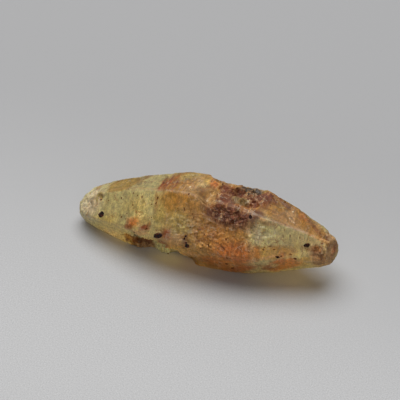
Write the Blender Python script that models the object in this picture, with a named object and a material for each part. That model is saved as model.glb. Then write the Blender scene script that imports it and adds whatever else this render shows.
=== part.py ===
"""Sapphire crystal: one doubly ended, six-sided spindle, lying on one of its faces.

The crystal is lofted through hexagonal sections that stand square to its long
axis, X. Low growth steps run round it and its corners are worn. Its ends are
worn to small flats. Whatever has broken away, such as hollows, pits, chips and
the ragged break along its lower left side, is then cut from that solid.
Last, it is laid down with its +X end a little higher, and rests on a low flat.
Lengths are in millimetres until the last step, and in metres from there.
The front is -Y, the long axis is X, and the crystal rests on Z = 0. Angles go
round the axis from the front (0) over the top (90) to the back (180).
"""

import math
import random

import bmesh
import bpy
from mathutils import Matrix, Vector, geometry

MM = 0.001
SEED = 7

# Sections: place along X, the axis's (y, z) there, and the girth, which is the
# distance from the axis to a corner.
SECTIONS = (
    (-13.30, (0.00, 2.34), 0.50),
    (-12.90, (0.08, 2.48), 1.18),
    (-12.00, (0.22, 2.77), 1.86),
    (-10.90, (0.20, 2.95), 2.30),
    (-9.00, (0.10, 3.14), 2.86),
    (-7.00, (0.00, 3.35), 3.40),
    (-5.00, (0.00, 3.57), 3.80),
    (-2.40, (0.00, 3.74), 4.22),
    (0.40, (0.00, 3.80), 4.30),
    (3.00, (0.00, 3.80), 4.24),
    (5.00, (0.00, 3.76), 3.98),
    (7.00, (0.00, 3.70), 3.38),
    (9.00, (-0.05, 3.66), 2.74),
    (11.00, (-0.15, 3.58), 2.00),
    (12.10, (-0.20, 3.45), 1.50),
    (12.75, (-0.15, 3.38), 1.10),
    (12.95, (-0.12, 3.38), 0.78),
)

# Each ridge: its angle at the left and at the right end, and its reach, as a
# share of the girth.
RIDGES = (
    ("lower_front", (12.0, 1.0), 1.05),
    ("upper_front", (80.0, 65.0), 1.00),
    ("top_back", (127.0, 125.0), 1.06),
    ("back", (187.0, 181.0), 1.02),
    ("under_back", (243.0, 240.0), 1.00),
    ("under_front", (302.0, 304.0), 1.00),
)
TWIST_HALF_LENGTH = 7.0  # the ridges turn from the one angle to the other within this

# Growth steps: place along X, height, and the ridges that show each.
GROWTH_STEPS = (
    (-10.3, 0.08, ("upper_front", "top_back", "back")),
    (-8.1, 0.09, ("back", "under_back")),
    (-6.3, 0.06, ("lower_front", "under_front", "back")),
    (-4.15, 0.08, ("upper_front", "top_back")),
    (-3.4, 0.07, ("back", "under_back")),
    (6.1, 0.06, ("back", "under_back", "top_back")),
    (7.7, 0.05, ("lower_front", "under_front")),
    (8.6, 0.07, ("back", "top_back")),
    (10.2, 0.06, ("lower_front", "upper_front", "under_back")),
    (11.6, 0.06, ("top_back", "back", "under_front")),
)
STEP_RUN = 0.12  # a step's slope takes this much length
FULL_STEP_GIRTH = 2.0  # steps are lower where the crystal is thinner than this
STAGGER = 0.12  # a section's corners sit up to this far off its place
STAGGER_SHARE = 0.4  # and within this share of the way to the next section

WEAR = 0.24  # a corner is worn back this far along both faces
WEAR_SHARE = 0.3  # and no further than this share of a face
WEAR_DEPTH = 0.45  # and sinks this share of the way to the chord

# Flats: a point on each, and the way it faces.
FLATS = (
    ((12.58, 0.0, 3.0), (1.0, -0.25, 0.18)),
    ((12.75, -0.6, 2.0), (0.60, -0.30, -0.74)),
    ((-13.25, 0.0, 2.2), (-1.0, -0.20, 0.10)),
    ((-12.65, 0.0, 4.2), (-0.66, 0.25, 0.70)),
    ((-12.30, -1.2, 2.4), (-0.62, -0.72, -0.30)),
)

# Bites: what broke away, each cut with an angular lump over one spot.
# Name, (place along X, angle), depth, (half length, half width, half height),
# turn about its own outward line.
BITES = (
    ("top_dip", (1.9, 126.0), 1.20, (3.5, 2.4, 2.4), 0.0),
    ("notch", (4.3, 121.0), 0.85, (1.1, 1.1, 1.1), 0.0),
    ("ledge", (0.2, 80.0), 0.72, (3.8, 2.9, 4.8), -20.0),
    ("left_underside", (-9.4, -36.0), 0.36, (3.4, 2.2, 4.0), 0.0),
    ("left_pit", (-10.9, 66.0), 0.26, (0.50, 0.40, 0.50), 10.0),
    ("right_top_chip", (10.3, 124.0), 0.16, (1.4, 0.8, 1.2), 5.0),
    ("front_chip", (5.0, 66.0), 0.16, (1.2, 0.7, 1.0), 0.0),
    ("back_hollow", (-1.6, 205.0), 0.45, (3.0, 1.9, 2.2), 15.0),
    ("back_chip", (6.6, 182.0), 0.32, (1.6, 1.0, 1.4), -10.0),
    ("back_left_chip", (-8.0, 186.0), 0.26, (1.5, 1.0, 1.4), 20.0),
)

# Ragged places: many bites close together. Name, how many, places along X,
# angles, depths and sizes, each from and to.
RAGGED = (
    ("lower_break", 9, (-6.2, -2.0), (-24.0, -54.0), (1.15, 1.55), (1.5, 2.2)),
    ("break_end", 3, (-2.0, -0.6), (-34.0, -46.0), (0.50, 0.70), (1.0, 1.5)),
    ("undercut", 3, (-7.2, -5.4), (-30.0, -48.0), (1.30, 1.60), (1.0, 1.4)),
    ("pit", 5, (2.7, 4.5), (84.0, 114.0), (0.60, 1.00), (0.8, 1.2)),
    ("pit_tail", 3, (1.2, 2.4), (92.0, 108.0), (0.25, 0.40), (0.7, 1.1)),
    ("back_crust", 4, (1.5, 4.0), (205.0, 225.0), (0.30, 0.50), (0.8, 1.2)),
)
LUMP_CORNERS = 40  # a lump is the hull of this many points
LUMP_SCATTER = 0.22  # the points sit this far off an even spread
LUMP_ROUGHNESS = 0.03  # its facets are uneven by this share of its size
LENGTHS = (0.8, 1.3)  # a ragged bite's length and width, as shares of its size
WIDTHS = (0.7, 1.1)
TURNS = (-40.0, 40.0)
GOLDEN_ANGLE = math.pi * (3.0 - math.sqrt(5.0))

# How it lies: every mm along the crystal climbs this much, every mm to the back
# stands this much further left, and its length is drawn out by this factor.
CLIMB = 0.050
ASKEW = 0.056
DRAWN_OUT = 1.019
REST_CUT = 0.30  # the lowest face is flat where it sank this deep

SAME_POINT = 0.02  # points closer than this become one
SMOOTH_BELOW = math.radians(24.0)

COLOUR = (0.42, 0.29, 0.11, 1.0)
ROUGHNESS = 0.25
CLEARNESS = 0.7
CORUNDUM_IOR = 1.77


def clear_scene():
    for obj in list(bpy.data.objects):
        bpy.data.objects.remove(obj)


def add_object(name, mesh):
    obj = bpy.data.objects.new(name, mesh)
    bpy.context.scene.collection.objects.link(obj)
    return obj


def between(low, high, share):
    return low + (high - low) * share


def outward(angle):
    """The unit vector that stands off the axis at an angle."""
    return Vector((0.0, -math.cos(angle), math.sin(angle)))


def section_at(x):
    """The axis's point and the girth at x."""
    for (x0, middle0, girth0), (x1, middle1, girth1) in zip(SECTIONS, SECTIONS[1:]):
        if x <= x1:
            share = (x - x0) / (x1 - x0)
            y, z = Vector(middle0).lerp(Vector(middle1), share)
            return Vector((x, y, z)), between(girth0, girth1, share)
    raise ValueError(f"{x} is past the crystal's right end")


def ridge_angle(ends, x):
    share = 0.5 + 0.5 * max(-1.0, min(1.0, x / TWIST_HALF_LENGTH))
    smooth = share * share * (3.0 - 2.0 * share)
    return math.radians(between(ends[0], ends[1], smooth))


def step_drop(name, x):
    """How much lower a ridge lies at x for the growth steps that it shows."""
    drop = 0.0
    for place, height, ridges in GROWTH_STEPS:
        if name in ridges:
            run = (x - place) * math.copysign(1.0, place) / STEP_RUN
            drop += height * (max(0.0, min(1.0, run)) - 0.5)
    return drop


def corners_at(x):
    axis, girth = section_at(x)
    corners = []
    for name, ends, reach in RIDGES:
        drop = step_drop(name, x) * min(1.0, girth / FULL_STEP_GIRTH)
        corners.append(axis + outward(ridge_angle(ends, x)) * (girth * reach - drop))
    return corners


def surface_at(x, angle):
    """The point of the unbroken crystal at x and an angle, and the way out there."""
    axis, girth = section_at(x)
    way = outward(angle)
    far = axis + way * girth * 2.0
    corners = corners_at(x)
    for start, end in zip(corners, corners[1:] + corners[:1]):
        met = geometry.intersect_line_line_2d(axis.yz, far.yz, start.yz, end.yz)
        if met:
            return Vector((x, met[0], met[1])), way
    raise ValueError(f"no face at {x}, {angle}")


def station_places():
    """Where the loft has a section: the design's own, and both sides of each step."""
    places = {x for x, _, _ in SECTIONS}
    for place, _, _ in GROWTH_STEPS:
        places |= {place, place + math.copysign(STEP_RUN, place)}
    return sorted(places)


def worn_section(corners):
    """A section's points: each corner becomes three, and each face gets a middle."""
    points = []
    for i, here in enumerate(corners):
        before, after = corners[i - 1], corners[(i + 1) % len(corners)]
        wear_in = min(WEAR, WEAR_SHARE * (before - here).length)
        wear_out = min(WEAR, WEAR_SHARE * (after - here).length)
        first = here + (before - here).normalized() * wear_in
        last = here + (after - here).normalized() * wear_out
        worn = here.lerp((first + last) / 2.0, WEAR_DEPTH)
        points += [first, worn, last, (here + after) / 2.0]
    return points


def spindle():
    """The whole crystal before anything broke away."""
    chance = random.Random(SEED)
    body = bmesh.new()
    rings = []
    places = station_places()
    for i, x in enumerate(places):
        gap = min(abs(x - other) for other in places if other != x)
        most = 0.0 if i in (0, len(places) - 1) else min(STAGGER, STAGGER_SHARE * gap)
        corners = [
            point + Vector((chance.uniform(-most, most), 0.0, 0.0))
            for point in corners_at(x)
        ]
        rings.append([body.verts.new(point) for point in worn_section(corners)])
    around = len(rings[0])
    for low, high in zip(rings, rings[1:]):
        for j in range(around):
            k = (j + 1) % around
            body.faces.new((low[j], low[k], high[k], high[j]))
    body.faces.new(reversed(rings[0]))
    body.faces.new(rings[-1])
    bmesh.ops.recalc_face_normals(body, faces=body.faces)
    bmesh.ops.triangulate(body, faces=body.faces)
    return body


def cut_flat(body, point, facing):
    """Cuts off what lies past a plane, and closes the cut."""
    cut = bmesh.ops.bisect_plane(
        body,
        geom=body.verts[:] + body.edges[:] + body.faces[:],
        plane_co=point,
        plane_no=facing,
        clear_outer=True,
    )
    rim = [item for item in cut["geom_cut"] if isinstance(item, bmesh.types.BMEdge)]
    bmesh.ops.holes_fill(body, edges=rim)
    bmesh.ops.recalc_face_normals(body, faces=body.faces)


def lump(chance, half_sizes):
    """An angular lump: the hull of points strewn over an ellipsoid."""
    shape = bmesh.new()
    first_turn = chance.uniform(0.0, math.tau)
    for i in range(LUMP_CORNERS):
        level = 1.0 - (2.0 * i + 1.0) / LUMP_CORNERS
        turn = first_turn + i * GOLDEN_ANGLE
        ring = math.sqrt(1.0 - level * level)
        way = Vector((ring * math.cos(turn), ring * math.sin(turn), level))
        way += Vector([chance.uniform(-LUMP_SCATTER, LUMP_SCATTER) for _ in range(3)])
        way.normalize()
        shape.verts.new([part * half for part, half in zip(way, half_sizes)])
    hull = bmesh.ops.convex_hull(shape, input=shape.verts)
    inside = [v for v in hull["geom_interior"] if isinstance(v, bmesh.types.BMVert)]
    bmesh.ops.delete(shape, geom=inside, context="VERTS")
    bmesh.ops.subdivide_edges(shape, edges=shape.edges, cuts=1, use_grid_fill=True)
    bmesh.ops.triangulate(shape, faces=shape.faces)
    for vert in shape.verts:
        vert.co *= 1.0 + chance.uniform(-LUMP_ROUGHNESS, LUMP_ROUGHNESS)
    bmesh.ops.recalc_face_normals(shape, faces=shape.faces)
    return shape


def bite_mesh(chance, bite):
    """A lump whose lowest point lies a bite's depth under the surface."""
    name, (x, angle), depth, half_sizes, turn = bite
    point, way = surface_at(x, math.radians(angle))
    along = Vector((1.0, 0.0, 0.0))
    frame = Matrix((along, way.cross(along), way)).transposed().to_4x4()
    frame.translation = point + way * (half_sizes[2] - depth)
    shape = lump(chance, half_sizes)
    shape.transform(frame @ Matrix.Rotation(math.radians(turn), 4, "Z"))
    mesh = bpy.data.meshes.new(name)
    shape.to_mesh(mesh)
    shape.free()
    return mesh


def ragged_bites(chance):
    """The bites of every ragged place, strewn along it from left to right."""
    bites = []
    for name, count, (x0, x1), angles, depths, sizes in RAGGED:
        for i in range(count):
            x = between(x0, x1, (i + chance.uniform(0.2, 0.8)) / count)
            size = chance.uniform(*sizes)
            half_sizes = (size * chance.uniform(*LENGTHS), size * chance.uniform(*WIDTHS), size)
            spot = (x, chance.uniform(*angles))
            depth = chance.uniform(*depths)
            bites.append((f"{name}_{i}", spot, depth, half_sizes, chance.uniform(*TURNS)))
    return bites


def take_bites(body):
    """The body with every bite cut from it."""
    mesh = bpy.data.meshes.new("crystal_whole")
    body.to_mesh(mesh)
    body.free()
    whole = add_object("crystal_whole", mesh)
    cutters = []
    chance = random.Random(SEED)
    for bite in list(BITES) + ragged_bites(chance):
        cutter = add_object("cut_" + bite[0], bite_mesh(chance, bite))
        cutter.hide_render = True
        cutter.display_type = "WIRE"
        cutters.append(cutter)
        modifier = whole.modifiers.new(bite[0], "BOOLEAN")
        modifier.operation = "DIFFERENCE"
        modifier.solver = "EXACT"
        modifier.object = cutter
    bpy.context.view_layer.update()
    cut_body = bmesh.new()
    cut_body.from_object(whole, bpy.context.evaluated_depsgraph_get())
    for obj in [whole] + cutters:
        bpy.data.objects.remove(obj)
    return cut_body


def keep_main_piece(body):
    """Drops the crumbs that bites left loose."""
    unseen = set(body.verts)
    pieces = []
    while unseen:
        reached = [unseen.pop()]
        for vert in reached:
            for edge in vert.link_edges:
                other = edge.other_vert(vert)
                if other in unseen:
                    unseen.remove(other)
                    reached.append(other)
        pieces.append(reached)
    pieces.sort(key=len)
    crumbs = [vert for piece in pieces[:-1] for vert in piece]
    bmesh.ops.delete(body, geom=crumbs, context="VERTS")


def lean(body):
    """Raises the +X end, with the sections standing askew."""
    for vert in body.verts:
        x, y, z = vert.co
        vert.co = (DRAWN_OUT * x - ASKEW * y, y, z + CLIMB * x)


def settle(body):
    """Cuts the rest face, tidies the mesh and puts its box's middle over the origin."""
    lowest = min(vert.co.z for vert in body.verts)
    cut_flat(body, Vector((0.0, 0.0, lowest + REST_CUT)), Vector((0.0, 0.0, -1.0)))
    bmesh.ops.remove_doubles(body, verts=body.verts, dist=SAME_POINT)
    bmesh.ops.dissolve_degenerate(body, dist=SAME_POINT, edges=body.edges)
    bmesh.ops.triangulate(body, faces=body.faces)
    bmesh.ops.recalc_face_normals(body, faces=body.faces)
    sides = list(zip(*[vert.co for vert in body.verts]))
    middle_x, middle_y = ((min(side) + max(side)) / 2.0 for side in sides[:2])
    shift = Vector((-middle_x, -middle_y, -min(sides[2])))
    bmesh.ops.translate(body, verts=body.verts, vec=shift)
    bmesh.ops.scale(body, verts=body.verts, vec=(MM, MM, MM))


def sapphire():
    material = bpy.data.materials.new("sapphire")
    material.use_nodes = True
    shader = material.node_tree.nodes["Principled BSDF"]
    shader.inputs["Base Color"].default_value = COLOUR
    shader.inputs["Roughness"].default_value = ROUGHNESS
    shader.inputs["Metallic"].default_value = 0.0
    shader.inputs["IOR"].default_value = CORUNDUM_IOR
    shader.inputs["Transmission Weight"].default_value = CLEARNESS
    return material


def main():
    clear_scene()
    body = spindle()
    for point, facing in FLATS:
        cut_flat(body, Vector(point), Vector(facing).normalized())
    body = take_bites(body)
    keep_main_piece(body)
    lean(body)
    settle(body)
    mesh = bpy.data.meshes.new("crystal")
    body.to_mesh(mesh)
    body.free()
    mesh.materials.append(sapphire())
    mesh.shade_smooth()
    mesh.set_sharp_from_angle(angle=SMOOTH_BELOW)
    add_object("crystal", mesh)


main()
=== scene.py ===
"""Sapphire crystal: the finished look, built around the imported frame.

The clear body is remeshed from the frame's crystal, so that it can carry fine
relief: growth terraces, cross striations and the crumbled texture of its
breaks. Dark mineral grains sit in its skin, and iron-stained and pale flakes
lie inside it. Places and sizes on the crystal are in millimetres, in the
frame's own axes: +X along the crystal, -Y to the front, +Z up.
"""

import math
import random
from itertools import groupby

import bmesh
import bpy
from bpy.props import FloatProperty, FloatVectorProperty, PointerProperty
from mathutils import Matrix, Vector, noise
from mathutils.bvhtree import BVHTree
from mathutils.kdtree import KDTree


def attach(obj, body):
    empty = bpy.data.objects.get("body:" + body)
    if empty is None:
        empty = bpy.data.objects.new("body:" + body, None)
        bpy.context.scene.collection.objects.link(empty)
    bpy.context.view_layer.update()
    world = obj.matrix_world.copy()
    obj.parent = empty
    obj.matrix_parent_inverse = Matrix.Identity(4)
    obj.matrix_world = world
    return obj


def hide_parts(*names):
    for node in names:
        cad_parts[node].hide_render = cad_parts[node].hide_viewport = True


bl_info = {
    "name": "Sapphire Crystal",
    "version": (1, 0, 0),
    "blender": (4, 5, 0),
    "location": "View3D > Sidebar > Crystal",
    "description": "Builds a doubly ended sapphire crystal around its solid",
    "category": "Object",
}

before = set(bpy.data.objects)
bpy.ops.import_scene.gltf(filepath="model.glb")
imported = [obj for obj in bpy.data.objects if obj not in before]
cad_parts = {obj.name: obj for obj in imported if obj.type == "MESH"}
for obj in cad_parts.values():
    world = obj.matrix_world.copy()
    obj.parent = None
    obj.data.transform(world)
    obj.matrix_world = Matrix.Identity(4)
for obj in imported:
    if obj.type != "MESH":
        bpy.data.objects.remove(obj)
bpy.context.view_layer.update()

MM = 0.001
SEED = 11

# ---------------------------------------------------------------- the body's relief

# Broken and crusted places: middle, half sizes, depth of the crumbs, tilt of the
# chips, and how many times the solid's own hard edges are smoothed there first.
BREAKS = (
    ("ledge", (0.1, -0.1, 7.4), (1.6, 1.7, 1.2), 0.015, 0.10, 90),
    ("lower_break", (-3.8, -2.9, 2.0), (4.2, 1.9, 2.1), 0.14, 0.55, 8),
    ("undercut", (-6.3, -1.8, 0.9), (2.2, 1.7, 1.7), 0.16, 0.50, 8),
    ("pit", (3.5, 0.5, 7.4), (2.3, 2.2, 1.2), 0.10, 0.45, 8),
    ("top_crust", (2.9, 0.7, 7.5), (3.3, 2.4, 1.4), 0.06, 0.40, 8),
    ("front_crust", (3.3, -2.2, 7.0), (2.8, 1.3, 1.6), 0.05, 0.40, 0),
    ("middle_skin", (0.8, -3.2, 4.6), (5.6, 2.4, 3.4), 0.020, 0.24, 0),
    ("middle_top", (-2.3, 0.8, 7.4), (2.2, 1.8, 1.2), 0.020, 0.22, 0),
    ("right_skin", (6.0, -2.6, 5.6), (2.4, 1.6, 2.0), 0.020, 0.25, 0),
    ("right_end", (12.7, -0.6, 4.4), (2.6, 2.2, 2.2), 0.05, 0.30, 8),
    ("left_end", (-12.5, -0.2, 3.0), (2.2, 2.4, 2.2), 0.025, 0.14, 0),
    ("back_hollow", (-1.7, 4.0, 1.9), (3.0, 1.4, 1.6), 0.06, 0.35, 8),
    ("back_skin", (1.0, 3.4, 4.6), (5.6, 2.4, 3.4), 0.020, 0.22, 0),
)

# Places inside the breaks that stay smooth: middle and half sizes, in millimetres.
CALM = (
    ((0.3, -0.2, 7.5), (1.4, 1.5, 1.0)),
    ((3.7, 0.1, 7.7), (1.3, 1.1, 0.9)),
)
CALM_SHARE = 0.9  # how much of the crumbs and chips is gone there
REST_BAND = 0.25  # relief fades out within this of the face that it rests on
ROUNDED_SHARE = 0.15  # edges are smoothed where a break is at least this strong

# The relief on all faces: waves per millimetre and heights in millimetres.
TERRACE_SCALE = 0.8
STRIATION_WANDER = 0.10
SKIN_SCALE = 3.5
SKIN_HEIGHT = 0.016
CRUMB_SCALES = (2.2, 5.0, 10.0)
CHIP_SCALES = ((1.5, 1.0), (3.4, 0.9))  # chips per millimetre, and their share of the tilt
CHIP_SEAM = 0.14  # painted shade lies this far into the seams between chips
CHIP_SHIFTS = (Vector((9.3, -1.5, -8.0)), Vector((0.0, 0.0, 0.0)), Vector((6.3, 0.2, -2.7)))

EDGE_ANGLE = math.radians(20.0)  # the solid's outward edges sharper than this are worn, and its hollow ones can get painted shade
BROKEN_TILT = 0.3  # painted shade goes in the solid's hollow edges where chips are steeper than this
EDGE_WEAR = 0.16  # how much paler those edges are than the worn ridge is

# The worn ridge that runs along the top of the front, from left to right.
RIDGE = (
    (-9.70, -0.08, 5.08, 0.45),
    (-8.33, -0.07, 5.63, 0.45),
    (-6.68, -0.27, 6.31, 0.45),
    (-3.85, -0.87, 7.26, 0.45),
    (-1.77, -0.97, 7.74, 0.60),
    (-0.73, -1.00, 7.82, 0.60),
    (0.15, -1.18, 7.47, 0.35),
    (0.84, -1.14, 7.26, 0.35),
    (1.66, -1.45, 7.80, 0.10),
    (2.50, -1.26, 7.90, 0.10),
    (3.97, -1.41, 7.82, 0.10),
    (5.40, -0.88, 7.64, 0.10),
    (6.80, -0.85, 7.28, 0.45),
    (8.35, -0.97, 6.89, 0.80),
    (9.89, -1.05, 6.47, 0.80),
    (11.37, -0.96, 5.97, 0.80),
    (12.72, -0.44, 5.20, 0.80),
)

# ---------------------------------------------------------------- colour patches

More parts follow.
